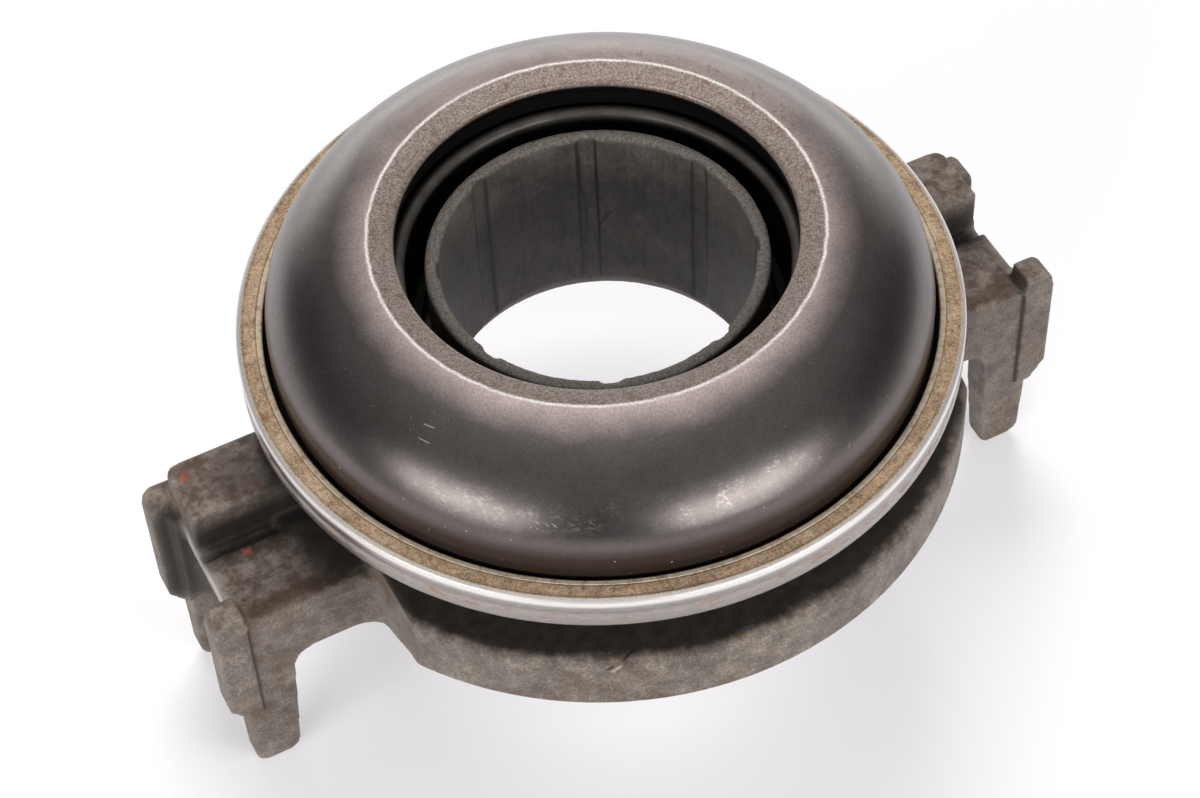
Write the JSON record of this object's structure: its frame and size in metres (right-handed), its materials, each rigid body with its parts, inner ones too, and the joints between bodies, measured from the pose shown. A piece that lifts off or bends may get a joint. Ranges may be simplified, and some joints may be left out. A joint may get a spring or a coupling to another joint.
{
  "type": "clutch release bearing",
  "caption": "Self-centring clutch release bearing: domed steel contact ring on a thrust ball bearing, clipped to a moulded guide sleeve with two fork ears.",
  "frame": {"origin": "on the bore axis, in the plane of the four leg tips the part stands on", "axes": "+Z along the bore towards the clutch, X through the two ears"},
  "size_m": [0.096, 0.0744, 0.0507],
  "materials": {
    "carrier_nylon": "moulded glass-filled nylon, dirty and worn",
    "spring_steel": "rolled spring steel",
    "ring_steel": "turned and hardened steel, oily",
    "cover_steel": "pressed bare steel with rust-brown dirt",
    "contact_steel": "pressed blackened steel with a polished contact line",
    "seal_rubber": "moulded black rubber",
    "cage_nylon": "moulded natural nylon",
    "ball_steel": "ground and polished bearing steel"
  },
  "bodies": {
    "carrier": {"carrier_sleeve": "carrier_nylon"},
    "spring": {"centring_spring": "spring_steel"},
    "bearing": {"inner_ring": "ring_steel", "cover_ring": "cover_steel", "rear_seal": "seal_rubber"},
    "contact": {"contact_ring": "contact_steel", "front_seal": "seal_rubber"},
    "cage": {"ball_cage": "cage_nylon", "ball_01": "ball_steel", "ball_02": "ball_steel", "ball_03": "ball_steel", "ball_04": "ball_steel", "ball_05": "ball_steel", "ball_06": "ball_steel", "ball_07": "ball_steel", "ball_08": "ball_steel", "ball_09": "ball_steel", "ball_10": "ball_steel", "ball_11": "ball_steel", "ball_12": "ball_steel", "ball_13": "ball_steel", "ball_14": "ball_steel", "ball_15": "ball_steel", "ball_16": "ball_steel"}
  },
  "joints": [
    {"name": "centring_x", "type": "slide", "parent": "carrier", "child": "spring", "axis": [1, 0, 0], "range_m": [-0.0004, 0.0004]},
    {"name": "centring_y", "type": "slide", "parent": "spring", "child": "bearing", "axis": [0, 1, 0], "range_m": [-0.0004, 0.0004]},
    {"name": "contact_spin", "type": "hinge", "parent": "bearing", "child": "contact", "pos_m": [0, 0, 0.0427], "axis": [0, 0, 1], "continuous": true},
    {"name": "cage_orbit", "type": "hinge", "parent": "bearing", "child": "cage", "pos_m": [0, 0, 0.0427], "axis": [0, 0, 1], "continuous": true}
  ],
  "couplings": [
    {"joint": "cage_orbit", "follows": "contact_spin", "ratio": 0.5534}
  ]
}
